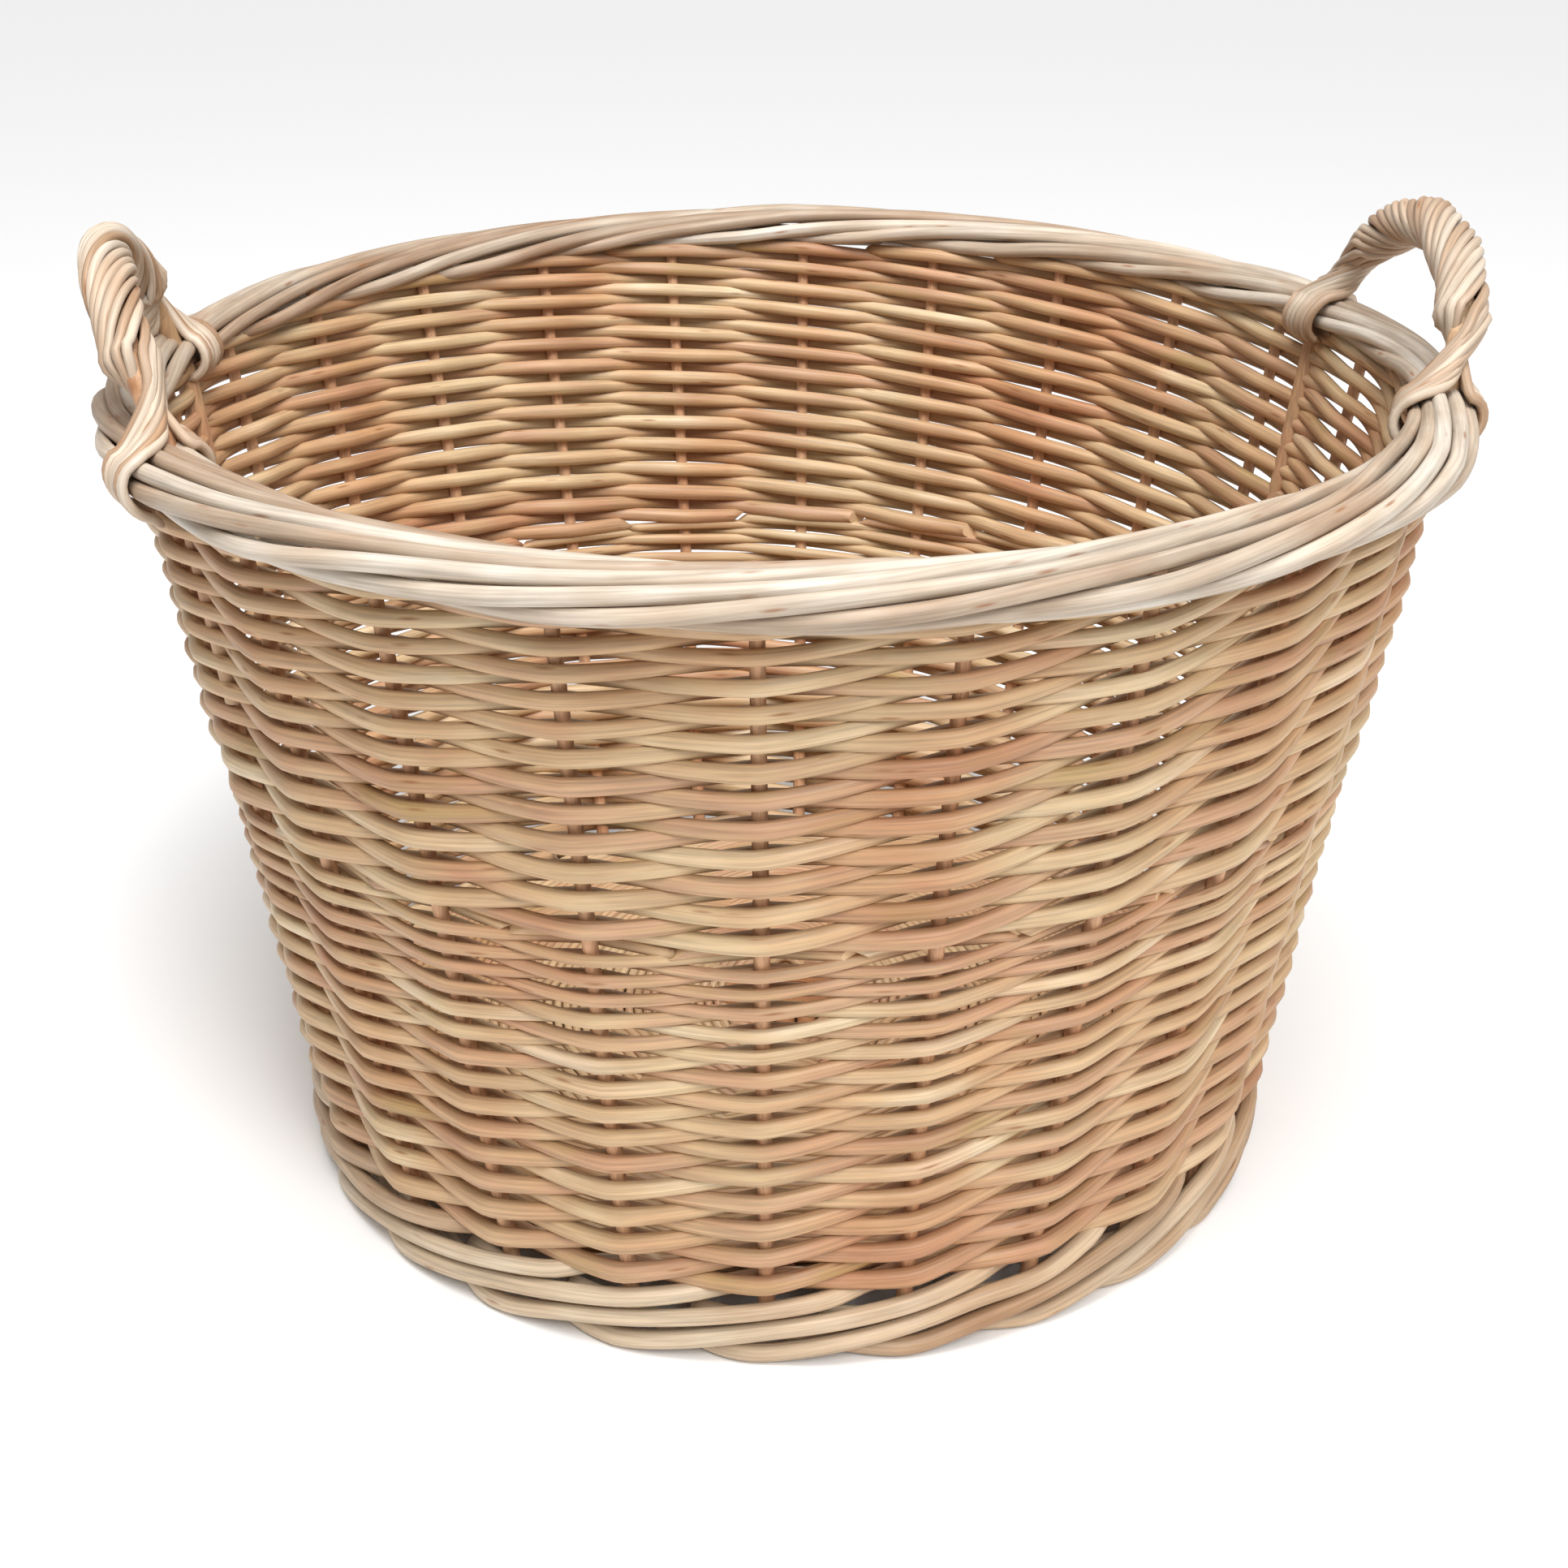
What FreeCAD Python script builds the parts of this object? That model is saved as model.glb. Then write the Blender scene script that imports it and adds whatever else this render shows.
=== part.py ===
"""Round willow laundry basket with two bow handles.

The frame sits at the middle of the foot: the floor is z = 0, +Z is up, and the
two handles are near +X and -X. Every piece is a closed solid of its own.
"""
import FreeCAD
import Part
import math
import os

Vector = FreeCAD.Vector

# Driving dimensions, in millimetres and degrees.
BORDER_OUTER_RADIUS = 250.0
BORDER_TOP = 307.0
STAKE_COUNT = 24
STAKE_PHASE = 268.0
STAKE_RADIUS_BOTTOM = 2.9
STAKE_RADIUS_TOP = 2.3
STAKE_BOTTOM = 9.0
STAKE_TOP = 297.0
WALL_RADIUS_AT_FLOOR = 177.0
WALL_SLOPE = 0.171
WALL_HALF_THICKNESS = 7.5
FIT_GAP = 0.3

# Foot ring, base and side bands.
FOOT_LEDGE = 20.0
FOOT_HEIGHT = 28.0
FOOT_INNER_RADIUS = 165.0
FOOT_OUTER_RADIUS = 188.0
FOOT_CORNER = 5.0
BAND_SPLIT = 171.0
BAND_JOIN_GAP = 0.2
BASE_THICKNESS = 12.0
BASE_DOME = 8.0
BASE_HOLE_RADIUS = 24.0

# Base sticks: three split sticks with three more pushed through the splits.
STICK_RADIUS = 3.8
STICK_PITCH = 8.4
STICK_FAN_ANGLE = 30.0
SPLIT_HALF_LENGTH = 19.0
SPLIT_SLOT_HALF_LENGTH = 13.0
SPLIT_WALL = 2.8
STICK_END_GAP = 4.0

# Top border, an oval bundle of rods round the mouth, tied narrower at the handles.
BORDER_HALF_WIDTH = 16.3
BORDER_HALF_HEIGHT = 8.7
BORDER_SQUEEZE = 10.0

# Handles: a thick bow, rods twisted round it, and lashings over the border.
HANDLE_CENTRES = {"right": 3.6, "left": 192.8}
HANDLE_HALF_SPAN = 18.6
BOW_RADIUS = 4.0
BOW_LEG_BOTTOM = 215.0
BOW_SPRING_HEIGHT = 290.0
BOW_RISES = {"right": 55.0, "left": 60.0}
BOW_APEX_RADII = {"right": 233.8, "left": 231.5}
BOW_INSETS = {"right": 0.0, "left": 3.0}
BOW_ARCH_STEPS = 16
TWIST_RADIUS = 9.5
LASHING_HALF_ANGLE = 7.0
LASHING_PROUD = 3.5
LASHING_SUNK = 3.5
LASHING_LIP_CLEARANCE = 2.0

BORDER_RADIUS = BORDER_OUTER_RADIUS - BORDER_HALF_WIDTH
BORDER_CENTRE_Z = BORDER_TOP - BORDER_HALF_HEIGHT
BORDER_BOTTOM = BORDER_TOP - 2 * BORDER_HALF_HEIGHT
BASE_EDGE_Z = FOOT_LEDGE + BAND_JOIN_GAP + BASE_THICKNESS / 2


def wall_radius(z):
    """Radius of the stake circle at height z."""
    return WALL_RADIUS_AT_FLOOR + WALL_SLOPE * z


BASE_RADIUS = wall_radius(FOOT_LEDGE) - WALL_HALF_THICKNESS - FIT_GAP
BASE_DOME_RUN = BASE_RADIUS - BASE_HOLE_RADIUS


def polar(radius, angle, z):
    """Point at a radius and an angle in degrees about the basket's axis."""
    turn = math.radians(angle)
    return Vector(radius * math.cos(turn), radius * math.sin(turn), z)


def revolve(edges, angle=360.0):
    """Solid of revolution about Z of a closed outline in the XZ plane."""
    face = Part.Face(Part.Wire(Part.__sortEdges__(edges)))
    return face.revolve(Vector(0, 0, 0), Vector(0, 0, 1), angle)


def outline(points):
    """Closed outline of straight edges through (radius, z) points."""
    corners = [Vector(radius, 0, z) for radius, z in points]
    return Part.makePolygon(corners + corners[:1]).Edges


def turned(shape, angle):
    """Copy of a shape turned about the basket's axis."""
    copy = shape.copy()
    copy.rotate(Vector(0, 0, 0), Vector(0, 0, 1), angle)
    return copy


def tube(points, radius):
    """Round rod of one radius along straight runs with mitred corners."""
    spine = Part.makePolygon(points)
    circle = Part.makeCircle(radius, points[0], points[1] - points[0])
    right_corner = 1
    return spine.makePipeShell([Part.Wire(circle)], True, False, right_corner)


def stake_angles():
    """Angle of every side stake."""
    return [STAKE_PHASE + 360.0 * i / STAKE_COUNT for i in range(STAKE_COUNT)]


def stake(angle, gap=0.0):
    """One straight side stake, thinner towards its top."""
    low, high = STAKE_BOTTOM - gap, STAKE_TOP + gap
    foot = polar(wall_radius(low), angle, low)
    axis = polar(wall_radius(high), angle, high) - foot
    return Part.makeCone(
        STAKE_RADIUS_BOTTOM + gap,
        STAKE_RADIUS_TOP + gap,
        axis.Length,
        foot,
        axis,
    )


def foot_ring():
    """Waled ring that the basket stands on, with a ledge for the base."""
    corner = FOOT_CORNER
    inner, outer = FOOT_INNER_RADIUS, FOOT_OUTER_RADIUS
    rim_inner = BASE_RADIUS + FIT_GAP
    rim_outer = wall_radius(FOOT_HEIGHT) + WALL_HALF_THICKNESS
    return revolve(outline([
        (inner + corner, 0),
        (outer - corner, 0),
        (outer, corner),
        (rim_outer, FOOT_HEIGHT),
        (rim_inner, FOOT_HEIGHT),
        (rim_inner, FOOT_LEDGE),
        (inner, FOOT_LEDGE),
        (inner, corner),
    ]))


def side_band(low, high):
    """Conical band of side weave between two heights."""
    half = WALL_HALF_THICKNESS
    return revolve(outline([
        (wall_radius(low) - half, low),
        (wall_radius(low) + half, low),
        (wall_radius(high) + half, high),
        (wall_radius(high) - half, high),
    ]))


def border_ring(offset=0.0, angle=360.0, squeeze=0.0):
    """Round-sided bundle of the border, grown by an offset or tied narrower."""
    round_radius = BORDER_HALF_HEIGHT + offset
    flat = BORDER_HALF_WIDTH - BORDER_HALF_HEIGHT
    inner, outer = BORDER_RADIUS - flat, BORDER_RADIUS + flat - squeeze
    middle = BORDER_CENTRE_Z
    top, bottom = middle + round_radius, middle - round_radius
    inner_side = Part.Arc(
        Vector(inner, 0, bottom),
        Vector(inner - round_radius, 0, middle),
        Vector(inner, 0, top),
    )
    outer_side = Part.Arc(
        Vector(outer, 0, bottom),
        Vector(outer + round_radius, 0, middle),
        Vector(outer, 0, top),
    )
    level = [
        Part.makeLine(Vector(inner, 0, top), Vector(outer, 0, top)),
        Part.makeLine(Vector(inner, 0, bottom), Vector(outer, 0, bottom)),
    ]
    sides = [inner_side.toShape(), outer_side.toShape()]
    return revolve(sides + level, angle)


def whole_border():
    """Top border, full width between the handles and narrower at each."""
    half = HANDLE_HALF_SPAN + LASHING_HALF_ANGLE
    right, left = HANDLE_CENTRES["right"], HANDLE_CENTRES["left"]
    starts = [right - half, right + half, left - half, left + half]
    border = None
    for number, start in enumerate(starts):
        span = (starts[(number + 1) % len(starts)] - start) % 360
        squeeze = 0.0 if number % 2 else BORDER_SQUEEZE
        sector = turned(border_ring(0.0, span, squeeze), start)
        border = sector if border is None else border.fuse(sector)
    return border


def dome_height(radius):
    """Height of the base's mid surface, a low cone with a level middle."""
    outward = max(0, radius - BASE_HOLE_RADIUS)
    return BASE_EDGE_Z + BASE_DOME * (1 - outward / BASE_DOME_RUN)


def base_disc():
    """Domed round weave of the base, open where the sticks cross."""
    half = BASE_THICKNESS / 2
    inner, outer = BASE_HOLE_RADIUS, BASE_RADIUS
    return revolve(outline([
        (inner, dome_height(inner) - half),
        (outer, dome_height(outer) - half),
        (outer, dome_height(outer) + half),
        (inner, dome_height(inner) + half),
    ]))


def stick_path(place):
    """Corners of a base stick, which fans out past the crossing."""
    fan = math.radians(STICK_FAN_ANGLE * place)
    reach = BASE_RADIUS - STICK_END_GAP
    end = Vector(reach * math.cos(fan), reach * math.sin(fan), dome_height(reach))
    bend = Vector(SPLIT_HALF_LENGTH, STICK_PITCH * place, dome_height(0))
    mirror = [Vector(-corner.x, corner.y, corner.z) for corner in (end, bend)]
    return mirror + [bend, end]


def base_stick(place, gap=0.0):
    """Base stick before splitting, from edge to edge of the base."""
    return tube(stick_path(place), STICK_RADIUS + gap)


def split_swelling(place):
    """Middle of a split stick, opened into a lens round the slot."""
    middle = dome_height(0)
    tall = STICK_RADIUS + FIT_GAP + SPLIT_WALL
    left, right = -SPLIT_HALF_LENGTH, SPLIT_HALF_LENGTH
    across = STICK_PITCH * place - STICK_RADIUS
    corners = [
        Vector(left, across, middle - STICK_RADIUS),
        Vector(right, across, middle - STICK_RADIUS),
        Vector(right, across, middle + STICK_RADIUS),
        Vector(left, across, middle + STICK_RADIUS),
    ]
    crown = Part.Arc(corners[3], Vector(0, across, middle + tall), corners[2])
    keel = Part.Arc(corners[0], Vector(0, across, middle - tall), corners[1])
    ends = [
        Part.makeLine(corners[0], corners[3]),
        Part.makeLine(corners[1], corners[2]),
    ]
    edges = Part.__sortEdges__([crown.toShape(), keel.toShape()] + ends)
    return Part.Face(Part.Wire(edges)).extrude(Vector(0, 2 * STICK_RADIUS, 0))


def split_stick(place):
    """Base stick whose middle is split for the other three to pass."""
    half_height = STICK_RADIUS + FIT_GAP
    half_depth = 2 * STICK_RADIUS
    corner = Vector(
        -SPLIT_SLOT_HALF_LENGTH,
        STICK_PITCH * place - half_depth,
        dome_height(0) - half_height,
    )
    length = 2 * SPLIT_SLOT_HALF_LENGTH
    slot = Part.makeBox(length, 2 * half_depth, 2 * half_height, corner)
    body = base_stick(place).fuse(split_swelling(place))
    return body.cut(slot).removeSplitter()


def bow_arch(side):
    """Points along the arch of a handle, flat and leaning outwards."""
    half_span = math.radians(HANDLE_HALF_SPAN)
    foot_radius = wall_radius(BOW_SPRING_HEIGHT) - BOW_INSETS[side]
    chord_radius = foot_radius * math.cos(half_span)
    points = []
    for step in range(BOW_ARCH_STEPS + 1):
        turn = math.pi * step / BOW_ARCH_STEPS
        outward = chord_radius + (BOW_APEX_RADII[side] - chord_radius) * math.sin(turn)
        across = -foot_radius * math.sin(half_span) * math.cos(turn)
        height = BOW_SPRING_HEIGHT + BOW_RISES[side] * math.sin(turn)
        angle = HANDLE_CENTRES[side] + math.degrees(math.atan2(across, outward))
        points.append(polar(math.hypot(outward, across), angle, height))
    return points


def handle_bow(side, gap=0.0):
    """Thick rod bent into the handle, its legs pushed down the wall."""
    centre = HANDLE_CENTRES[side]
    low = BOW_LEG_BOTTOM - gap
    first = polar(wall_radius(low), centre - HANDLE_HALF_SPAN, low)
    last = polar(wall_radius(low), centre + HANDLE_HALF_SPAN, low)
    return tube([first] + bow_arch(side) + [last], BOW_RADIUS + gap)


def handle_twist(side):
    """Rods twisted round the arch above the border, as one hollow solid."""
    low = BORDER_TOP + LASHING_PROUD + FIT_GAP
    below = Part.makeCylinder(BORDER_OUTER_RADIUS + TWIST_RADIUS, low)
    twist = tube(bow_arch(side), TWIST_RADIUS)
    return twist.cut(below).cut(handle_bow(side, FIT_GAP))


def handle_lashing(foot_angle):
    """Rods wrapped over the border at one foot of a handle."""
    sector = border_ring(LASHING_PROUD, 2 * LASHING_HALF_ANGLE, BORDER_SQUEEZE)
    saddle = turned(sector, foot_angle - LASHING_HALF_ANGLE)
    saddle = saddle.cut(border_ring(-LASHING_SUNK, squeeze=BORDER_SQUEEZE))
    lip = side_band(BORDER_BOTTOM - 2 * LASHING_PROUD, BORDER_CENTRE_Z)
    slot_half = WALL_HALF_THICKNESS + LASHING_LIP_CLEARANCE
    middle = wall_radius(BORDER_BOTTOM)
    slot = revolve(outline([
        (middle - slot_half, BORDER_BOTTOM - slot_half),
        (middle + slot_half, BORDER_BOTTOM - slot_half),
        (middle + slot_half, BORDER_CENTRE_Z),
        (middle - slot_half, BORDER_CENTRE_Z),
    ]))
    return saddle.cut(lip).cut(slot)


def stick_set():
    """The six base sticks, the split three first."""
    places = (-1, 0, 1)
    split = [split_stick(place) for place in places]
    through = [turned(base_stick(place), 90) for place in places]
    return split + through


def stick_tunnels():
    """Clearance shapes of the six base sticks in the base weave."""
    places = (-1, 0, 1)
    along = [base_stick(place, FIT_GAP) for place in places]
    return along + [turned(shape, 90) for shape in along]


def build():
    """All pieces of the basket by node name."""
    pieces = {}
    stakes = [stake(angle) for angle in stake_angles()]
    channels = [stake(angle, FIT_GAP) for angle in stake_angles()]
    bow_channels = [handle_bow(side, FIT_GAP) for side in HANDLE_CENTRES]

    lower = side_band(FOOT_HEIGHT + BAND_JOIN_GAP, BAND_SPLIT)
    upper = side_band(BAND_SPLIT + BAND_JOIN_GAP, BORDER_CENTRE_Z)
    lashings = {}
    for side, centre in HANDLE_CENTRES.items():
        turn = HANDLE_HALF_SPAN if side == "left" else -HANDLE_HALF_SPAN
        lashings[side + "_handle_front_lashing"] = handle_lashing(centre + turn)
        lashings[side + "_handle_rear_lashing"] = handle_lashing(centre - turn)
    border = whole_border().cut(list(lashings.values()))
    upper = upper.cut(border_ring(BAND_JOIN_GAP))

    pieces["foot_wale"] = foot_ring().cut(channels)
    pieces["base_weave"] = base_disc().cut(stick_tunnels())
    for number, shape in enumerate(stick_set(), 1):
        pieces["base_stick_%d" % number] = shape
    for number, shape in enumerate(stakes, 1):
        pieces["side_stake_%02d" % number] = shape
    pieces["lower_side_weave"] = lower.cut(channels)
    pieces["upper_side_weave"] = upper.cut(channels + bow_channels)
    pieces["top_border"] = border.cut(channels + bow_channels)
    for side in HANDLE_CENTRES:
        pieces[side + "_handle_bow"] = handle_bow(side)
        pieces[side + "_handle_twist"] = handle_twist(side)
    for name, shape in lashings.items():
        pieces[name] = shape.cut(bow_channels)
    return pieces


os.makedirs("parts", exist_ok=True)
for name, shape in build().items():
    shape.exportStep("parts/%s.step" % name)
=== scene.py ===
"""Looks of a round willow laundry basket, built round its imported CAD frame.

Every rod of the sides, foot, border, handles and base is a bent tube of its
own. The CAD's stakes, base sticks and handle bows keep their shapes and get a
willow material. Lengths are in metres and angles in degrees.
"""
import bpy
import math
import numpy as np
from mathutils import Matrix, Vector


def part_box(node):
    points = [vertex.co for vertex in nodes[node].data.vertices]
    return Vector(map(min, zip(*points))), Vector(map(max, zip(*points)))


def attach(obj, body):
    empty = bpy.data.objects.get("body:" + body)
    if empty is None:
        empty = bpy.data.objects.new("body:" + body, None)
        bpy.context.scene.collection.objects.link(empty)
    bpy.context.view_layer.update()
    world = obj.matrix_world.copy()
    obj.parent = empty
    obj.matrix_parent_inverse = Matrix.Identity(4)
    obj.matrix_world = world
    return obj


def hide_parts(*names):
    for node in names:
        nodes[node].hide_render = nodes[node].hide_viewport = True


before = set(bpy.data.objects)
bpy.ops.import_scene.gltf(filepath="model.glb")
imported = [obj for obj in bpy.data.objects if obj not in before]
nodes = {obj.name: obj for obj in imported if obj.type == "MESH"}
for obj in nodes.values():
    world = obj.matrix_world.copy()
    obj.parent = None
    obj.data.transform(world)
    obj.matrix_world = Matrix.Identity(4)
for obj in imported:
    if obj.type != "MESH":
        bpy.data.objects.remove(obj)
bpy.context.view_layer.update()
draws = np.random.default_rng(20)

# ---------------------------------------------------------------- CAD measures

STAKE_RADIUS = 0.0026
STICK_RADIUS = 0.0038
BOW_RADIUS = 0.004
END_SLICE = 0.003
CREST_SLICE = 0.001


def corners(name):
    """Vertices of a CAD node as an (n, 3) array."""
    mesh = nodes[name].data
    flat = np.zeros(len(mesh.vertices) * 3)
    mesh.vertices.foreach_get("co", flat)
    return flat.reshape(-1, 3)


def centre_of(points):
    """Radius, angle and height of the mean of some points."""
    x, y, z = points.mean(0)
    return math.hypot(x, y), math.degrees(math.atan2(y, x)) % 360, z


stake_nodes = sorted(name for name in nodes if name.startswith("side_stake_"))
stick_nodes = sorted(name for name in nodes if name.startswith("base_stick_"))
bow_nodes = {side: side + "_handle_bow" for side in ("right", "left")}
STAKES = len(stake_nodes)
STEP = 360 / STAKES

stake = corners(stake_nodes[0])
low_r, PHASE, low_z = centre_of(stake[stake[:, 2] < stake[:, 2].min() + END_SLICE])
high_r, _, high_z = centre_of(stake[stake[:, 2] > stake[:, 2].max() - END_SLICE])
WALL_SLOPE = (high_r - low_r) / (high_z - low_z)
WALL_FLOOR_RADIUS = low_r - WALL_SLOPE * low_z

LOWER_BOTTOM, LOWER_TOP = (corner.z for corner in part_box("lower_side_weave"))
UPPER_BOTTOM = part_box("upper_side_weave")[0].z
BORDER_BOTTOM, BORDER_TOP = (corner.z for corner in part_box("top_border"))
BORDER_CENTRE_Z = (BORDER_TOP + BORDER_BOTTOM) / 2
BORDER_HALF_HEIGHT = (BORDER_TOP - BORDER_BOTTOM) / 2
border_radii = np.hypot(*corners("top_border")[:, :2].T)
BORDER_RADIUS = (border_radii.max() + border_radii.min()) / 2
BORDER_HALF_WIDTH = (border_radii.max() - border_radii.min()) / 2
# Height where the handles' arches spring from their straight legs.
SPRING = BORDER_BOTTOM + 0.0004


def wall_radius(z):
    """Radius of the stake circle at height z."""
    return WALL_FLOOR_RADIUS + WALL_SLOPE * z


def bow_measures(name):
    """Feet of a handle where its arch springs, and its highest point.

    Gives the angles of the two feet, their radius, and the top's radius and height.
    """
    points = corners(name)
    feet = points[abs(points[:, 2] - SPRING) < 1.3 * BOW_RADIUS]
    middle = math.degrees(math.atan2(points[:, 1].mean(), points[:, 0].mean())) % 360
    offset = (np.degrees(np.arctan2(feet[:, 1], feet[:, 0])) - middle + 180) % 360 - 180
    first, last = offset[offset < 0].mean(), offset[offset > 0].mean()
    crest = points[points[:, 2] > points[:, 2].max() - CREST_SLICE]
    top = (np.hypot(*crest[:, :2].T).mean(), points[:, 2].max() - BOW_RADIUS)
    return middle + first, middle + last, np.hypot(*feet[:, :2].T).mean(), top


bows = {side: bow_measures(name) for side, name in bow_nodes.items()}

# ------------------------------------------------------------------- rod maker

ROD_SIDES = 10
ROUND_SIDES = 12
THIN_SIDES = 8
CURVE_STEPS = 12
# Each rod's colour pattern starts somewhere in a length of wood this long.
PATTERN_LENGTH = 40


def polar(radius, angle, z):
    """Points at radii, angles and heights as an (n, 3) array."""
    turn = np.radians(angle)
    return np.stack([radius * np.cos(turn), radius * np.sin(turn), z + 0 * turn], 1)


def unit(vectors):
    """Vectors scaled to length one."""
    return vectors / np.linalg.norm(vectors, axis=-1, keepdims=True)


def lengths_along(path):
    """Distance along a path from its start to each of its points."""
    steps = np.linalg.norm(np.diff(path, axis=0), axis=1)
    return np.concatenate([[0], np.cumsum(steps)])


def smooth_noise(count, spacing, amount, smooth_over):
    """Random values that change smoothly along a rod.

    The rod has a count of samples at a spacing, the values spread by an amount,
    and a new value is drawn about once in every stretch of smooth_over.
    """
    knots = max(4, int(count * spacing / smooth_over) + 3)
    values = draws.normal(0, amount, knots)
    places = np.linspace(0, knots - 1, count)
    base = np.clip(places.astype(int), 0, knots - 2)
    part = places - base
    ease = part * part * (3 - 2 * part)
    return values[base] * (1 - ease) + values[base + 1] * ease


def curve_through(points, spacing):
    """Catmull-Rom curve through points, sampled at an even spacing."""
    points = np.asarray(points, float)
    padded = np.vstack([2 * points[0] - points[1], points, 2 * points[-1] - points[-2]])
    out = []
    for i in range(1, len(padded) - 2):
        a, b, c, d = padded[i - 1:i + 3]
        t = np.linspace(0, 1, CURVE_STEPS, endpoint=False)[:, None]
        out.append(0.5 * (2 * b + (c - a) * t + (2 * a - 5 * b + 4 * c - d) * t ** 2
                          + (3 * b - a - 3 * c + d) * t ** 3))
    line = np.vstack(out + [padded[-2:-1]])
    length = lengths_along(line)
    even = np.linspace(0, length[-1], max(6, int(length[-1] / spacing) + 1))
    return np.stack([np.interp(even, length, line[:, k]) for k in range(3)], 1)


def carried_reference(path, start):
    """Cross direction carried along a path without twisting."""
    tangent = unit(np.gradient(path, axis=0))
    carried = np.zeros_like(path)
    current = np.asarray(start, float)
    for i, t in enumerate(tangent):
        current = unit(current - current.dot(t) * t)
        carried[i] = current
    return carried


def tube_rings(path, radius, reference, turn, cuts, flat):
    """Rings of points round a path, with the two end rings cut at a slant.

    The first cross direction lies nearest to the reference, and is flattened.
    """
    tangent = unit(np.gradient(path, axis=0))
    first = unit(reference - (reference * tangent).sum(1, keepdims=True) * tangent)
    second = np.cross(tangent, first)
    across, up = np.cos(turn) * flat, np.sin(turn)
    rings = (path[:, None] + radius[:, None, None] * (
        across[None, :, None] * first[:, None] + up[None, :, None] * second[:, None]))
    slant_ways = draws.uniform(0, 2 * np.pi, 2)
    for end, cut, way in zip((0, -1), cuts, slant_ways):
        lean = cut * radius[end] * np.cos(turn - way)
        rings[end] += lean[:, None] * tangent[end]
    return rings


def wood_places(path, radius, turn):
    """Place of each ring point in the rod's own wood: along it, then across it."""
    places = np.zeros((len(path), len(turn), 3))
    places[:, :, 0] = lengths_along(path)[:, None]
    places[:, :, 1] = radius[:, None] * np.cos(turn)[None]
    places[:, :, 2] = radius[:, None] * np.sin(turn)[None]
    places[:, :, 0] += draws.uniform(0, PATTERN_LENGTH)
    return places


def tube_faces(count, sides):
    """Side faces of a tube of rings, then its two end caps."""
    ids = np.arange(count * sides).reshape(count, sides)
    near, far = ids[:-1], ids[1:]
    quads = np.stack([near, np.roll(near, -1, 1), np.roll(far, -1, 1), far], -1).reshape(-1, 4)
    return quads.tolist() + [ids[0][::-1].tolist(), ids[-1].tolist()]


def rod(name, path, radius, reference, material, cuts=(0.6, 0.6), sides=ROD_SIDES,
        replaced=(), flat=1.0):
    """One willow rod as a closed tube with slanting cut ends."""
    radius = np.broadcast_to(radius, len(path))
    turn = np.linspace(0, 2 * np.pi, sides, endpoint=False)
    rings = tube_rings(path, radius, reference, turn, cuts, flat)
    places = wood_places(path, radius, turn)
    mesh = bpy.data.meshes.new(name)
    mesh.from_pydata(rings.reshape(-1, 3).tolist(), [], tube_faces(len(path), sides))
    smooth = np.ones(len(mesh.polygons), bool)
    smooth[-2:] = False
    mesh.polygons.foreach_set("use_smooth", smooth)
    mesh.attributes.new("rod_pos", "FLOAT_VECTOR", "POINT").data.foreach_set(
        "vector", places.reshape(-1).astype(np.float32))
    tints = np.full(len(mesh.vertices), draws.uniform(0, 1), np.float32)
    mesh.attributes.new("tint", "FLOAT", "POINT").data.foreach_set("value", tints)
    mesh.attributes.new("cut_end", "FLOAT", "FACE").data.foreach_set(
        "value", (~smooth).astype(np.float32))
    mesh.update()
    mesh.materials.append(material)
    piece = bpy.data.objects.new(name, mesh)
    bpy.context.scene.collection.objects.link(piece)
    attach(piece, "root")
    if replaced:
        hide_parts(*replaced)


# ------------------------------------------------------------------- materials


def connect(tree, socket, value):
    """Feed a shader socket from another socket, a number or a colour."""
    if isinstance(value, bpy.types.NodeSocket):
        tree.links.new(value, socket)
    elif isinstance(value, (int, float)):
        socket.default_value = value
    else:
        socket.default_value = (*value, 1)


def shader_node(tree, kind, **inputs):
    """New shader node with some of its inputs set."""
    made = tree.nodes.new(kind)
    for key, value in inputs.items():
        made.inputs[key].default_value = value
    return made


def attribute(tree, name, output):
    """Values stored on a mesh under a name."""
    made = tree.nodes.new("ShaderNodeAttribute")
    made.attribute_name = name
    return made.outputs[output]


def ramp(tree, source, stops):
    """Colour ramp fed by a value, from (position, colour) stops."""
    made = tree.nodes.new("ShaderNodeValToRGB")
    elements = made.color_ramp.elements
    while len(elements) < len(stops):
        elements.new(0.5)
    for element, (position, colour) in zip(elements, stops):
        element.position = position
        element.color = (*colour, 1)
    tree.links.new(source, made.inputs["Fac"])
    return made.outputs["Color"]


def grey(value):
    """Grey colour of one level."""
    return (value, value, value)


def srgb(red, green, blue):
    """Linear colour from 8-bit display values."""
    return tuple(
        v / 12.92 if v <= 0.04045 else ((v + 0.055) / 1.055) ** 2.4
        for v in (red / 255, green / 255, blue / 255))


def mix(tree, blend, amount, first, second):
    """Colour mix of two colour sockets or colours."""
    made = tree.nodes.new("ShaderNodeMix")
    made.data_type = "RGBA"
    made.blend_type = blend
    for place, value in ((0, amount), (6, first), (7, second)):
        connect(tree, made.inputs[place], value)
    return made.outputs[2]


def arithmetic(tree, operation, first, second):
    """Arithmetic on two sockets or numbers."""
    made = tree.nodes.new("ShaderNodeMath")
    made.operation = operation
    connect(tree, made.inputs[0], first)
    connect(tree, made.inputs[1], second)
    return made.outputs[0]


def weighted_sum(tree, first, first_share, second, second_share):
    """Sum of two values, each times its share."""
    return arithmetic(tree, "ADD", arithmetic(tree, "MULTIPLY", first, first_share),
                      arithmetic(tree, "MULTIPLY", second, second_share))


def stretched(tree, source, scale):
    """Coordinates scaled by three factors."""
    made = shader_node(tree, "ShaderNodeMapping", Scale=scale)
    tree.links.new(source, made.inputs["Vector"])
    return made.outputs["Vector"]


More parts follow.
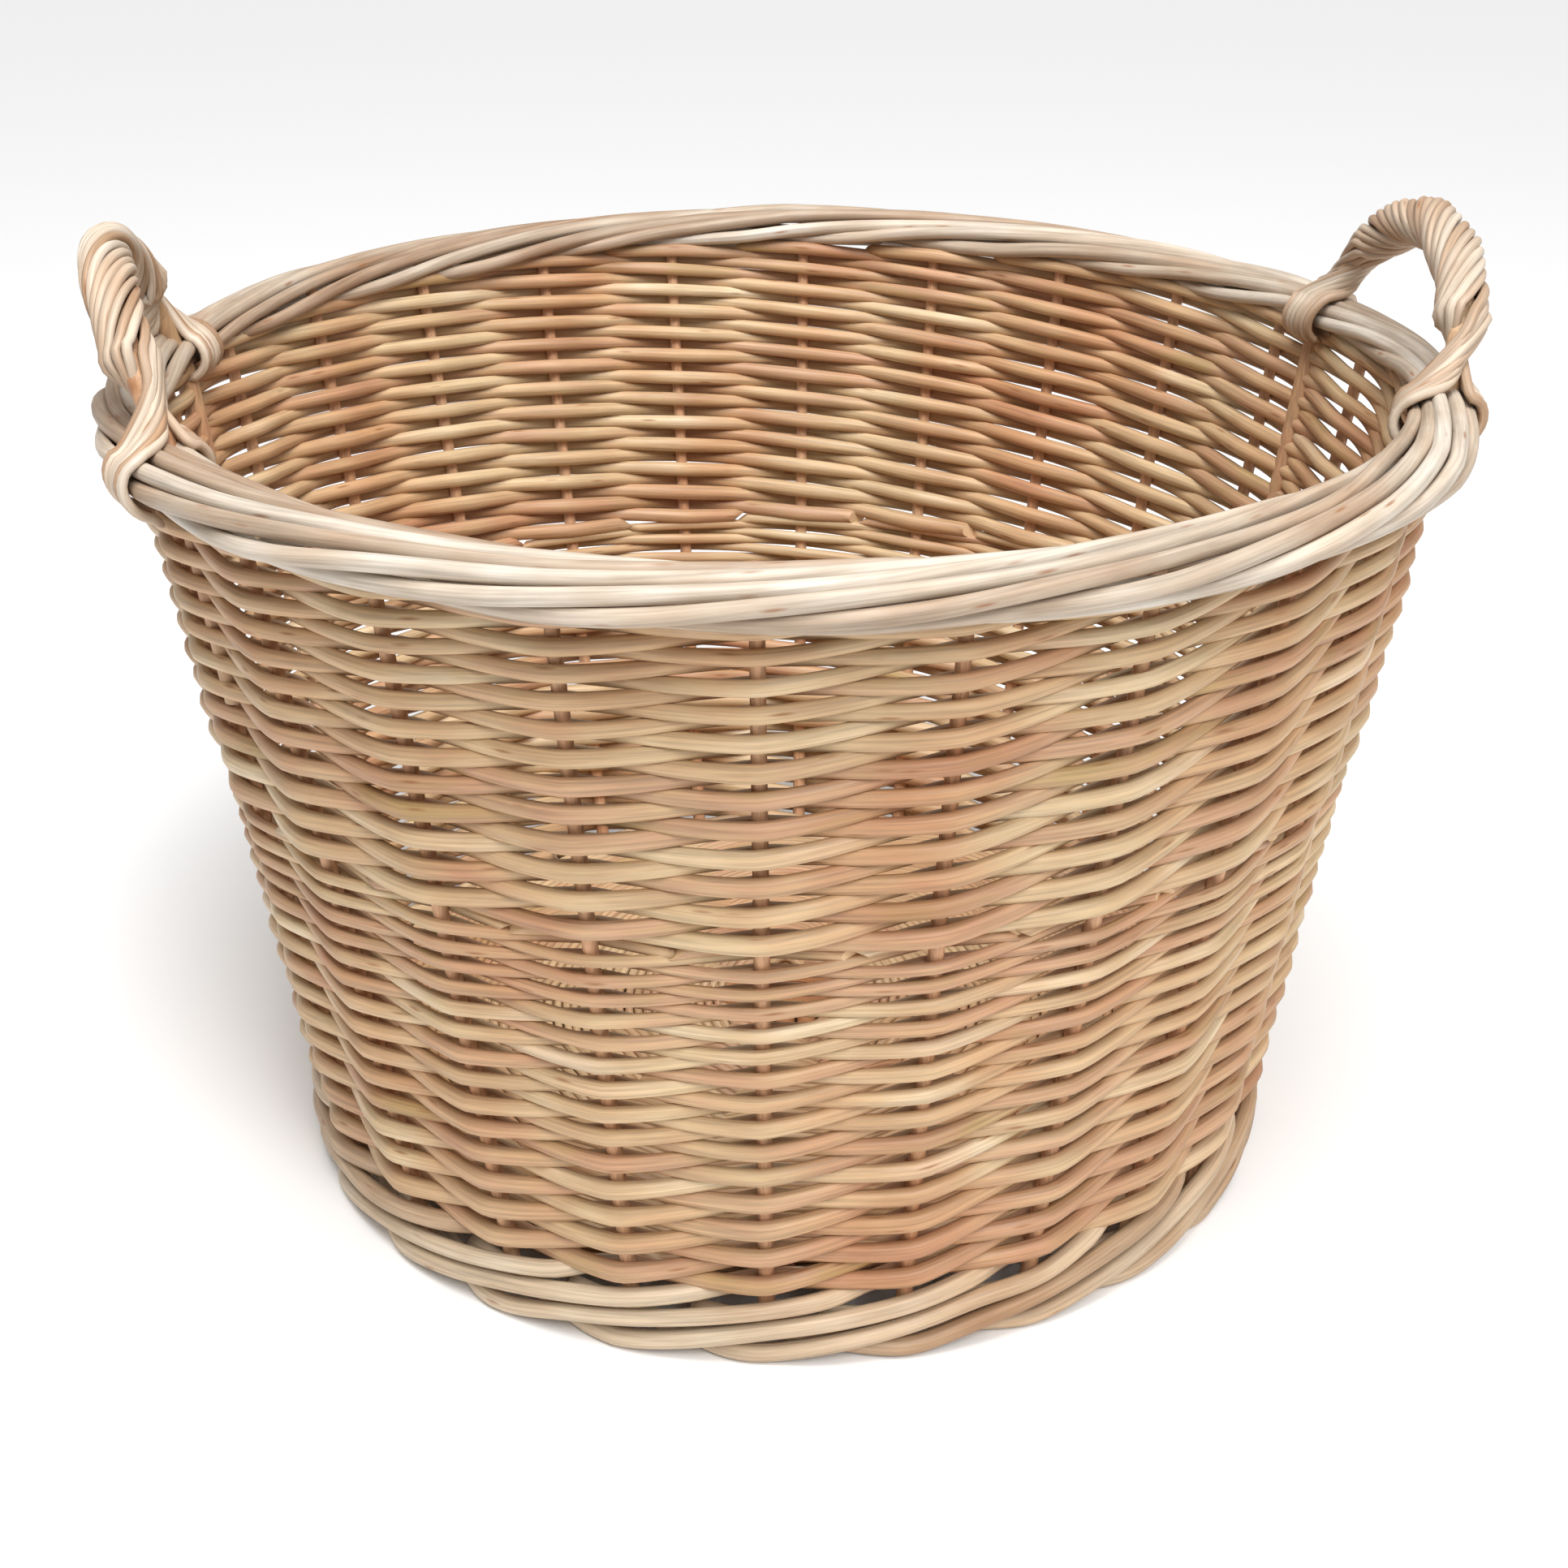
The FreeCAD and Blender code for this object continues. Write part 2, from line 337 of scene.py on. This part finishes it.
def noise(tree, source, scale, detail=2.0, roughness=0.5):
    """Noise value read at some coordinates."""
    made = shader_node(tree, "ShaderNodeTexNoise", Scale=scale, Detail=detail,
                       Roughness=roughness)
    tree.links.new(source, made.inputs["Vector"])
    return made.outputs["Fac"]


# Changes per metre of the pattern: along and across a rod, or in X, Y and Z on
# a CAD piece.
ROD_SCALES = {"streak": (22, 900, 900), "band": (30, 90, 90), "spot": (34, 220, 220)}
CAD_SCALES = {"streak": (900, 900, 25), "band": (60, 60, 60), "spot": (40, 40, 40)}
CAD_TINT_SCALE = 9.0
PATCH_SCALE = 14.0
STREAK_DEPTH = 0.35
ROUGHNESS = 0.5
SPECULAR = 0.42
BUMP_STRENGTH = 0.45
BUMP_HEIGHT = 0.0006
SPOT_COLOUR = srgb(138, 88, 50)
CUT_COLOUR = (0.62, 0.42, 0.24)


def willow(name, palette, stain, from_object=False, patch=0.5):
    """Peeled willow: a palette along each rod, stain patches, streaks and spots.

    The palette runs from the palest to the deepest colour of the skin. A CAD
    piece has no pattern places of its own, so it is coloured from its object
    coordinates.
    """
    material = bpy.data.materials.new(name)
    material.use_nodes = True
    tree = material.node_tree
    tree.nodes.clear()
    output = tree.nodes.new("ShaderNodeOutputMaterial")
    shader = tree.nodes.new("ShaderNodeBsdfPrincipled")
    tree.links.new(shader.outputs[0], output.inputs["Surface"])
    object_space = tree.nodes.new("ShaderNodeTexCoord").outputs["Object"]
    if from_object:
        scales = CAD_SCALES
        rod_space = object_space
        tint = noise(tree, object_space, CAD_TINT_SCALE)
    else:
        scales = ROD_SCALES
        rod_space = attribute(tree, "rod_pos", "Vector")
        tint = attribute(tree, "tint", "Fac")

    bands = noise(tree, stretched(tree, rod_space, scales["band"]), 1.0, 3.0)
    place = weighted_sum(tree, tint, 0.55, bands, 0.75)
    place = arithmetic(tree, "SUBTRACT", place, 0.15)
    stops = [(0.12 + 0.76 * i / (len(palette) - 1), c) for i, c in enumerate(palette)]
    skin = ramp(tree, place, stops)

    patches = noise(tree, object_space, PATCH_SCALE)
    stain_mask = ramp(tree, patches, [(0.42, grey(0)), (0.68, grey(patch))])
    skin = mix(tree, "MULTIPLY", stain_mask, skin, stain)

    streaks = noise(tree, stretched(tree, rod_space, scales["streak"]), 1.0, 3.0, 0.6)
    streak_shade = ramp(tree, streaks, [(0.30, grey(1 - STREAK_DEPTH)), (0.62, grey(1.0))])
    skin = mix(tree, "MULTIPLY", 1.0, skin, streak_shade)

    spots = shader_node(tree, "ShaderNodeTexVoronoi", Scale=1.0)
    tree.links.new(stretched(tree, rod_space, scales["spot"]), spots.inputs["Vector"])
    spot_mask = ramp(tree, spots.outputs["Distance"], [(0.05, grey(0.75)), (0.16, grey(0.0))])
    skin = mix(tree, "MIX", spot_mask, skin, SPOT_COLOUR)
    if not from_object:
        skin = mix(tree, "MIX", attribute(tree, "cut_end", "Fac"), skin, CUT_COLOUR)
    tree.links.new(skin, shader.inputs["Base Color"])

    rough = ramp(tree, bands, [(0.3, grey(ROUGHNESS - 0.06)), (0.7, grey(ROUGHNESS + 0.10))])
    tree.links.new(rough, shader.inputs["Roughness"])
    shader.inputs["Specular IOR Level"].default_value = SPECULAR

    height = weighted_sum(tree, streaks, 0.35, bands, 0.65)
    bump = shader_node(tree, "ShaderNodeBump", Strength=BUMP_STRENGTH, Distance=BUMP_HEIGHT)
    tree.links.new(height, bump.inputs["Height"])
    tree.links.new(bump.outputs["Normal"], shader.inputs["Normal"])
    return material


SIDE_PALETTE = [srgb(220, 199, 167), srgb(208, 182, 143), srgb(198, 166, 127),
                srgb(193, 153, 120), srgb(180, 152, 104)]
FOOT_PALETTE = [srgb(213, 194, 167), srgb(194, 168, 138), srgb(172, 140, 109)]
PALE_PALETTE = [srgb(214, 204, 190), srgb(193, 178, 160), srgb(174, 152, 130),
                srgb(154, 125, 100)]
HANDLE_PALETTE = [srgb(217, 205, 190), srgb(200, 183, 163), srgb(184, 159, 135),
                  srgb(168, 134, 102)]
STAKE_PALETTE = [srgb(228, 190, 154), srgb(218, 172, 134), srgb(200, 148, 110)]
STICK_PALETTE = [srgb(182, 134, 92), srgb(168, 118, 78), srgb(150, 102, 66)]
TAN_STAIN = srgb(236, 206, 176)
RED_STAIN = srgb(232, 182, 150)

side_willow = willow("side_willow", SIDE_PALETTE, RED_STAIN)
foot_willow = willow("foot_willow", FOOT_PALETTE, TAN_STAIN)
base_willow = willow("base_willow", SIDE_PALETTE[1:], RED_STAIN)
border_willow = willow("border_willow", PALE_PALETTE, TAN_STAIN, patch=0.35)
handle_willow = willow("handle_willow", HANDLE_PALETTE, TAN_STAIN)
stake_willow = willow("stake_willow", STAKE_PALETTE, TAN_STAIN, from_object=True)
bow_willow = willow("bow_willow", SIDE_PALETTE[1:], RED_STAIN, from_object=True)
stick_willow = willow("stick_willow", STICK_PALETTE, RED_STAIN, from_object=True)

for names, material in ((stake_nodes, stake_willow), (stick_nodes, stick_willow),
                        (bow_nodes.values(), bow_willow)):
    for name in names:
        nodes[name].data.materials.clear()
        nodes[name].data.materials.append(material)

# ------------------------------------------------------------------ side weave

SAMPLES_PER_STEP = 14
FLATTENING = 0.90
SWING_SHARE = 0.87
# How far a rod runs on past its first and last stake, in steps between stakes,
# and its slopes there, in rows per step.
END_REACH = 0.48
START_SLOPE = 0.5
END_SLOPE = 0.3
SIDE_CUTS = (1.3, 1.2)
# Unevenness of the side rods: along the row in degrees, up and down in metres,
# the rest as shares of a rod's thickness or swing.
SIDE_DRIFT = 0.18
SIDE_WANDER = 0.00026
SIDE_THICKNESS_SPREAD = 0.03
SIDE_THICKNESS_NOISE = 0.025
SIDE_SWING_NOISE = 0.05
# Rods are a little thicker where they pass the stakes.
SIDE_BULGE = 0.04
WALL_OUT = np.array([1, -WALL_SLOPE]) / math.hypot(1, WALL_SLOPE)
WAVE_HEIGHT = 0.0007


def wall_wave(angle, z):
    """Gentle rise and fall of the rows round the basket."""
    turn = np.radians(angle)
    return WAVE_HEIGHT * (np.sin(2 * turn + 1.1 + 9 * z)
                          + 0.6 * np.sin(5 * turn + 2.3 - 14 * z))


def zigzag(s):
    """Triangle wave, one at even whole numbers and minus one at odd ones."""
    return 1 - 2 * np.abs((s + 1) % 2 - 1)


def weave_set(label, layers, heights, pitches, thicknesses, kink):
    """One set of side rods, each passing in front of and behind the stakes.

    Heights, pitches and thicknesses are given at the bottom and at the top. The
    kink, from 0 to 1, says how sharply the rods bend at the stakes.
    """
    pitch = np.linspace(*pitches, layers)
    pitch *= (heights[1] - heights[0]) / pitch.sum()
    rows = heights[0] + np.cumsum(pitch) - pitch / 2
    start, stop = -END_REACH, layers - 1 + END_REACH
    count = int((stop - start) * SAMPLES_PER_STEP)
    s = np.linspace(start, stop, count)
    spacing = math.radians(STEP) * wall_radius(sum(heights) / 2) / SAMPLES_PER_STEP
    level = np.interp(s, np.arange(layers), rows)
    level = level + np.where(s < 0, s * pitch[0] * START_SLOPE, 0)
    level = level + np.where(s > layers - 1, (s - layers + 1) * pitch[-1] * END_SLOPE, 0)
    sway = (1 - kink) * np.cos(np.pi * s) + kink * zigzag(s)
    for j in range(STAKES):
        angle = PHASE + (j + s) * STEP + smooth_noise(count, spacing, SIDE_DRIFT, 0.10)
        thickness = (draws.normal(1, SIDE_THICKNESS_SPREAD)
                     + smooth_noise(count, spacing, SIDE_THICKNESS_NOISE, 0.16))
        radius = np.interp(s, [start, stop], thicknesses) / 2 * thickness
        radius = radius * (1 + SIDE_BULGE * np.cos(2 * np.pi * s))
        swing = (STAKE_RADIUS + FLATTENING * radius) * SWING_SHARE
        swing = swing * (1 + smooth_noise(count, spacing, SIDE_SWING_NOISE, 0.05))
        z = level + wall_wave(angle, level) + smooth_noise(count, spacing, SIDE_WANDER, 0.07)
        offset = -swing * sway
        path = polar(wall_radius(z) + offset * WALL_OUT[0], angle, z + offset * WALL_OUT[1])
        outward = polar(np.full(count, WALL_OUT[0]), angle, np.full(count, WALL_OUT[1]))
        rod("%s_rod_%02d" % (label, j + 1), path, radius, outward,
            side_willow, cuts=SIDE_CUTS, flat=FLATTENING,
            replaced=[label + "_weave"] if j == 0 else ())


weave_set("lower_side", layers=29, heights=(LOWER_BOTTOM - 0.0026, LOWER_TOP + 0.0006),
          pitches=(0.0064, 0.0033), thicknesses=(0.0074, 0.0041), kink=0.7)
weave_set("upper_side", layers=25, heights=(UPPER_BOTTOM - 0.0006, BORDER_BOTTOM + 0.0030),
          pitches=(0.0055, 0.0043), thicknesses=(0.0067, 0.0053), kink=0.55)

# ------------------------------------------------------------------------ foot

FOOT_ROD = 0.00345
FOOT_SPACING = 0.0042
FLOOR_GAP = 0.0001
# Way of a foot rod: steps between stakes, swings outward from the stakes, height.
FOOT_ROUTE = [
    (-1.60, -1.10, 0.0102), (-1.10, -0.95, 0.0072), (-0.65, -0.20, 0.0050),
    (-0.25, 0.95, 0.0037), (0.05, 1.30, 0.0047), (0.50, 1.32, 0.0090),
    (1.00, 1.22, 0.0138), (1.50, 1.14, 0.0184), (2.00, 1.05, 0.0228),
    (2.42, 0.50, 0.0261), (2.75, -0.45, 0.0278), (3.10, -0.98, 0.0282),
    (3.50, -1.02, 0.0278),
]


def foot_strand(j):
    """One foot rod: out at the bottom, past two stakes, then in at the top."""
    radius = FOOT_ROD * draws.normal(1, 0.05)
    swing = STAKE_RADIUS + FOOT_ROD
    steps, outs, heights = (np.array(v) for v in zip(*FOOT_ROUTE))
    outs = outs + draws.normal(0, 0.06, len(outs))
    heights = heights + draws.normal(0, 0.0005, len(heights))
    angle = PHASE + (j + steps) * STEP
    knots = polar(wall_radius(heights) + outs * swing, angle, heights)
    path = curve_through(knots, FOOT_SPACING)
    path[:, 2] = np.maximum(path[:, 2], radius * 1.04 + FLOOR_GAP)
    swelling = smooth_noise(len(path), FOOT_SPACING, 0.03, 0.06)
    shape = radius * (1 + np.clip(swelling, -0.04, 0.04))
    rod("foot_rod_%02d" % (j + 1), path, shape, path * [1, 1, 0], foot_willow,
        sides=ROUND_SIDES, cuts=(0.0, 0.8), replaced=["foot_wale"] if j == 0 else ())


for j in range(STAKES):
    foot_strand(j)

# ---------------------------------------------------------------------- border

BORDER_ROD = 0.0030
BORDER_SPACING = 0.0045
BORDER_LOOSENESS = 0.0007
# A rod is this much thicker than usual at its start, and tapers by this share.
BORDER_BUTT = 1.04
BORDER_TAPER = 0.16
# Where a rod starts beside its stake, in steps between stakes.
BORDER_START = 0.4
# Degrees of the basket in which a rod would go once round the border's bundle,
# and the shares of that round where it starts and ends: 0 is outside, 0.25 on top.
BORDER_TURN_SPAN = 131.0
BORDER_FIRST_SHARE = -0.28
BORDER_LAST_SHARE = 0.66
# A rod's end is tucked into the bundle over the last part of its length.
BORDER_TUCK = 0.004
BORDER_TUCK_START = 0.86
ring_height = BORDER_HALF_HEIGHT - BORDER_ROD
# Pull of the handles on the border: degrees from the handle's middle, metres in.
PULL_AWAY = [0, 8, 14, 19, 26, 34, 46, 62]
PULLS = {
    ("right", "front"): [0.0125, 0.0125, 0.0120, 0.0095, 0.0060, 0.0015, 0, 0],
    ("right", "rear"): [0.0125, 0.0130, 0.0125, 0.0115, 0.0085, 0.0060, 0.0030, 0],
    ("left", "front"): [0.0080, 0.0065, 0.0060, 0.0055, 0.0040, 0.0015, 0, 0],
    ("left", "rear"): [0.0080, 0.0090, 0.0095, 0.0095, 0.0085, 0.0065, 0.0030, 0],
}
# Rise and fall of the border's middle: degrees, metres.
SAG_ANGLES = [0, 20, 38, 60, 90, 112, 135, 158, 175, 195, 225, 270, 315, 345, 360]
SAGS = [-0.0005, -0.0015, -0.0030, -0.0012, 0.0008, -0.0008, -0.0030, -0.0030, -0.0015,
        0, -0.0003, -0.0011, -0.0003, 0, -0.0005]


def squeeze(angle):
    """How far the border's outer edge is pulled in beside the handles."""
    total = 0
    for (side, part), pull in PULLS.items():
        first, last, _, _ = bows[side]
        away = (angle - (first + last) / 2 + 180) % 360 - 180
        front = away < 0 if side == "right" else away > 0
        chosen = front if part == "front" else ~front
        total = total + np.where(chosen, np.interp(abs(away), PULL_AWAY, pull), 0)
    return total


def border_oval(angle):
    """Middle radius and half width of the border at an angle."""
    pulled = squeeze(angle)
    return BORDER_RADIUS - pulled / 2, BORDER_HALF_WIDTH - pulled / 2


def border_height(angle):
    """Height of the border's middle, which sags beside the handles."""
    return BORDER_CENTRE_Z + np.interp(angle % 360, SAG_ANGLES, SAGS)


def ellipse_table(width, height):
    """Share of an ellipse's length, from 0 to 1, against the turn round it."""
    turn = np.linspace(0, 2 * np.pi, 721)
    x, y = width * np.cos(turn), height * np.sin(turn)
    length = np.concatenate([[0], np.cumsum(np.hypot(np.diff(x), np.diff(y)))])
    return length / length[-1], turn


arc_share, arc_turn = ellipse_table(BORDER_HALF_WIDTH - BORDER_ROD, ring_height)


def border_strand(j):
    """One border rod: up from below on the outside, over, and down inside."""
    shares = BORDER_LAST_SHARE - BORDER_FIRST_SHARE
    span = BORDER_TURN_SPAN * shares
    count = int(math.radians(span) * BORDER_RADIUS / BORDER_SPACING)
    u = np.linspace(0, 1, count)
    angle = PHASE + STEP * (j + BORDER_START) + u * span
    share = BORDER_FIRST_SHARE + u * shares + smooth_noise(count, BORDER_SPACING, 0.011, 0.10)
    turn = np.interp(share % 1.0, arc_share, arc_turn)
    middle, width = border_oval(angle)
    radius = BORDER_ROD * (draws.normal(1, 0.04)
                           + smooth_noise(count, BORDER_SPACING, 0.03, 0.2))
    radius = radius * (BORDER_BUTT - BORDER_TAPER * u)
    loose = smooth_noise(count, BORDER_SPACING, BORDER_LOOSENESS, 0.07)
    tucked = BORDER_TUCK * np.clip((u - BORDER_TUCK_START) / (1 - BORDER_TUCK_START), 0, 1)
    grow = loose - tucked
    path = polar(middle + (width - BORDER_ROD + grow) * np.cos(turn), angle,
                 border_height(angle) + (ring_height + grow) * np.sin(turn))
    outward = path - polar(middle, angle, border_height(angle)) + 1e-5
    rod("border_rod_%02d" % (j + 1), path, radius, outward, border_willow,
        sides=ROUND_SIDES, cuts=(1.2, 1.2), replaced=["top_border"] if j == 0 else ())


for j in range(STAKES):
    border_strand(j)

# --------------------------------------------------------------------- handles

ARCH_SAMPLES = 400
TWIST_ROD = 0.0017
TWIST_RADIUS = 0.0075
# The middle rods of a group stand a little prouder than its outer ones.
TWIST_CROWN = 0.0005
TWIST_SPACING = 0.0026
TWIST_GROUP_PITCH = 28.0
TWIST_TURNS = 1.5
# Only every ninth sample of the arch shapes a rod's twist.
TWIST_STRIDE = 9
GROUP_SIZE = 6
# The twist ends this far above the border, where the rods part to be tied down.
LEG_CLEARANCE = 0.018
LEG_PITCH = 0.0024
LEG_GAP = 0.0006
WRAP_PITCH = 0.0034
WRAP_START = 0.0055
WRAP_STEPS = 6
WRAP_LATENESS = 1.2
WRAP_PROUD = TWIST_ROD + 0.0002
# Turns round the border where a wrap starts and ends: 0 is outside, 90 on top.
WRAP_TURNS = {"inner": (124, 238), "outer": (52, -70)}
# How far a wrap's end stands off the border, and how many times that it hangs below.
WRAP_SLACK = {"inner": 0.0020, "outer": 0.0014}
WRAP_HANG = {"inner": 0, "outer": 2.2}
# Sideways ends of the wraps towards the handle's middle.
WRAP_ENDS = {
    ("right", "first"): {"inner": -0.010, "outer": 0.008},
    ("right", "last"): {"inner": 0.002, "outer": -0.006},
    ("left", "first"): {"inner": -0.006, "outer": 0.006},
    ("left", "last"): {"inner": 0.010, "outer": -0.004},
}


def arch(side):
    """Centre line of a handle, a flat arch that leans outwards."""
    first, last, foot_radius, (top_radius, top_z) = bows[side]
    turn = np.linspace(0, np.pi, ARCH_SAMPLES)
    half = math.radians(last - first) / 2
    chord = foot_radius * math.cos(half)
    outward = chord + (top_radius - chord) * np.sin(turn)
    across = -foot_radius * math.sin(half) * np.cos(turn)
    angle = (first + last) / 2 + np.degrees(np.arctan2(across, outward))
    return polar(np.hypot(outward, across), angle, SPRING + (top_z - SPRING) * np.sin(turn))


def wrap(side, foot, foot_angle, line, way, lead):
    """Way of a rod past the leg and over the border to its underside.

    It goes over the border on the inner or the outer way, and the two ways pass
    the leg on opposite sides. Distances across are positive towards the
    handle's middle, and lead is the rod's place in its group.
    """
    past = -1 if (way == "inner") == (foot == "first") else 1
    towards_middle = 1 if foot == "first" else -1
    degrees_per_metre = towards_middle * math.degrees(1 / BORDER_RADIUS)
    half = line[:len(line) // 2] if foot == "first" else line[:len(line) // 2 - 1:-1]
    level = BORDER_TOP + LEG_CLEARANCE / 2 + lead * LEG_PITCH
    leg = [np.interp(level, half[:, 2], half[:, k]) for k in range(2)]
    beside_angle = math.degrees(math.atan2(leg[1], leg[0]))
    beside_angle += degrees_per_metre * past * (TWIST_RADIUS + LEG_GAP)
    beside = polar(math.hypot(*leg), np.array([beside_angle]), level)
    steps = np.linspace(0, 1, WRAP_STEPS)
    turn_start, turn_end = WRAP_TURNS[way]
    turn = np.radians(turn_start + (turn_end - turn_start) * steps)
    begin = past * WRAP_START
    end = WRAP_ENDS[side, foot][way]
    across = begin + (end - begin) * steps ** WRAP_LATENESS - past * lead * WRAP_PITCH
    angle = foot_angle + degrees_per_metre * across
    middle, width = border_oval(angle)
    slack = WRAP_SLACK[way] * steps
    drop = BORDER_HALF_HEIGHT + WRAP_PROUD + WRAP_HANG[way] * slack
    over = polar(middle + (width + WRAP_PROUD + slack) * np.cos(turn), angle,
                 border_height(angle) + drop * np.sin(turn))
    return np.vstack([beside, over])


def handle_strands(side):
    """Twelve rods twisted round a handle in two groups and tied over the border."""
    first, last = bows[side][:2]
    whole_line = arch(side)
    line = whole_line[whole_line[:, 2] > BORDER_TOP + LEG_CLEARANCE]
    tangent = unit(np.gradient(line, axis=0))
    middle = polar(np.full(len(line), 1.0), np.full(len(line), (first + last) / 2),
                   np.zeros(len(line)))
    outward = unit(middle - (middle * tangent).sum(1, keepdims=True) * tangent)
    towards = np.cross(tangent, outward)
    length = lengths_along(line)
    share = length / length[-1]
    replaced = [side + "_handle_" + part for part in ("twist", "front_lashing", "rear_lashing")]
    for group, (start_way, finish_way) in enumerate((("inner", "outer"), ("outer", "inner"))):
        for place in range(GROUP_SIZE):
            lead = place - (GROUP_SIZE - 1) / 2
            begin = 180 * group + lead * TWIST_GROUP_PITCH
            turn = np.radians(begin + share * 360 * TWIST_TURNS)
            proud = TWIST_CROWN * (1 - abs(lead) * 0.75)
            reach = TWIST_RADIUS + proud + draws.normal(0, 0.00015)
            helix = line + reach * (np.cos(turn)[:, None] * outward
                                    + np.sin(turn)[:, None] * towards)
            start = wrap(side, "first", first, whole_line, start_way, -lead)
            finish = wrap(side, "last", last, whole_line, finish_way, lead)
            knots = np.vstack([start[::-1], helix[::TWIST_STRIDE], finish])
            path = curve_through(knots, TWIST_SPACING)
            path += np.stack([smooth_noise(len(path), TWIST_SPACING, 0.00018, 0.03)
                              for _ in range(3)], 1)
            radius = TWIST_ROD * (draws.normal(1, 0.05)
                                  + smooth_noise(len(path), TWIST_SPACING, 0.035, 0.05))
            number = group * GROUP_SIZE + place + 1
            rod("%s_handle_rod_%02d" % (side, number), path, radius,
                carried_reference(path, (0.3, 0.2, 1.0)), handle_willow,
                cuts=(1.2, 1.2), replaced=replaced if number == 1 else ())


for side in bows:
    handle_strands(side)

# ------------------------------------------------------------------------ base

BASE_PITCH = 0.0036
BASE_ROD = 0.00172
BASE_SPACING = 0.005
# The rods press a little into the sticks that they pass over and under.
BASE_CLOSENESS = 0.98
BASE_LENGTHS = 5
# Each length runs on a few samples beside the start of the next one.
BASE_OVERLAP = 8
BASE_HALF_THICKNESS = 0.006
BASE_ARMS = 2 * len(stick_nodes)
base_radii = np.hypot(*corners("base_weave")[:, :2].T)
BASE_INNER, BASE_OUTER = base_radii.min(), base_radii.max()
disc_low, disc_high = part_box("base_weave")


def dome(radius):
    """Height of the middle of the base at a radius."""
    share = np.clip((radius - BASE_INNER) / (BASE_OUTER - BASE_INNER), 0, 1)
    top = disc_high.z - BASE_HALF_THICKNESS
    return top + (disc_low.z + BASE_HALF_THICKNESS - top) * share


def base_turns():
    """Turns in degrees of the samples along the base's spiral."""
    rows = (BASE_OUTER - BASE_INNER) / BASE_PITCH - 1
    turns = [0.0]
    while turns[-1] < rows * 360:
        radius = BASE_INNER + BASE_PITCH * (0.5 + turns[-1] / 360)
        turns.append(turns[-1] + min(5.0, math.degrees(BASE_SPACING / radius)))
    return np.array(turns)


def base_weavers():
    """Two rods paired round the sticks, in several lengths each."""
    turns = base_turns()
    number = 0
    for side_of_stick in (-BASE_CLOSENESS, BASE_CLOSENESS):
        for part in np.array_split(np.arange(len(turns)), BASE_LENGTHS):
            turn = turns[part[0]:part[-1] + BASE_OVERLAP]
            radius = BASE_INNER + BASE_PITCH * (0.5 + turn / 360)
            count = len(turn)
            swing = (STICK_RADIUS + BASE_ROD) * side_of_stick
            height = dome(radius) + swing * np.cos(np.radians(turn) * BASE_ARMS / 2)
            radius = radius + smooth_noise(count, BASE_SPACING, 0.00022, 0.05)
            path = polar(radius, turn, height)
            thick = BASE_ROD * (draws.normal(1, 0.04)
                                + smooth_noise(count, BASE_SPACING, 0.03, 0.1))
            number += 1
            rod("base_rod_%02d" % number, path, thick, np.tile([0.0, 0.0, 1.0], (count, 1)),
                base_willow, sides=THIN_SIDES,
                replaced=["base_weave"] if number == 1 else ())


base_weavers()

# ------------------------------------------------------- floor, lights, camera

FLOOR_HALF = 30.0
FLOOR_WHITE = 0.96
FLOOR_ROUGHNESS = 0.9
KEY_STRENGTH = 1.7
FILL_STRENGTH = 0.2
SOFTBOX_SIZE = 0.9
SOFTBOX_POWER = 20.0
WORLD_STRENGTH = 0.48
CAMERA_PITCH = 24.59

floor_mesh = bpy.data.meshes.new("floor")
floor_mesh.from_pydata(
    [(-FLOOR_HALF, -FLOOR_HALF, 0), (FLOOR_HALF, -FLOOR_HALF, 0),
     (FLOOR_HALF, FLOOR_HALF, 0), (-FLOOR_HALF, FLOOR_HALF, 0)], [], [(0, 1, 2, 3)])
floor = bpy.data.objects.new("floor", floor_mesh)
bpy.context.scene.collection.objects.link(floor)
floor_material = bpy.data.materials.new("pale_floor")
floor_material.use_nodes = True
floor_shader = floor_material.node_tree.nodes["Principled BSDF"]
floor_shader.inputs["Base Color"].default_value = (*grey(FLOOR_WHITE), 1)
floor_shader.inputs["Roughness"].default_value = FLOOR_ROUGHNESS
floor_mesh.materials.append(floor_material)


def sun_light(name, azimuth, height, strength, softness):
    """Distant soft light from an azimuth and a height."""
    data = bpy.data.lights.new(name, "SUN")
    data.energy = strength
    data.angle = math.radians(softness)
    light = bpy.data.objects.new(name, data)
    bpy.context.scene.collection.objects.link(light)
    light.rotation_euler = (math.radians(90 - height), 0, math.radians(azimuth + 90))


sun_light("key", azimuth=-70, height=46, strength=KEY_STRENGTH, softness=24)
sun_light("fill", azimuth=-30, height=30, strength=FILL_STRENGTH, softness=50)

softbox_data = bpy.data.lights.new("softbox", "AREA")
softbox_data.shape = "SQUARE"
softbox_data.size = SOFTBOX_SIZE
softbox_data.energy = SOFTBOX_POWER
softbox = bpy.data.objects.new("softbox", softbox_data)
bpy.context.scene.collection.objects.link(softbox)
softbox.location = (0, -0.45, 1.5)
softbox.rotation_euler = (math.radians(18), 0, 0)

world = bpy.data.worlds.new("studio")
world.use_nodes = True
background = world.node_tree.nodes["Background"]
background.inputs["Color"].default_value = (1, 1, 1, 1)
background.inputs["Strength"].default_value = WORLD_STRENGTH
bpy.context.scene.world = world
bpy.context.scene.view_settings.view_transform = "Standard"

camera_data = bpy.data.cameras.new("camera")
camera = bpy.data.objects.new("camera", camera_data)
bpy.context.scene.collection.objects.link(camera)
camera_data.sensor_width = 36
camera_data.lens = 54.82
camera_data.shift_x = -0.0009
camera_data.shift_y = -0.0143
camera_data.clip_start = 0.05
camera.location = (0, -0.8424, 0.5268)
camera.rotation_euler = (math.radians(90 - CAMERA_PITCH), 0, 0)
bpy.context.scene.camera = camera
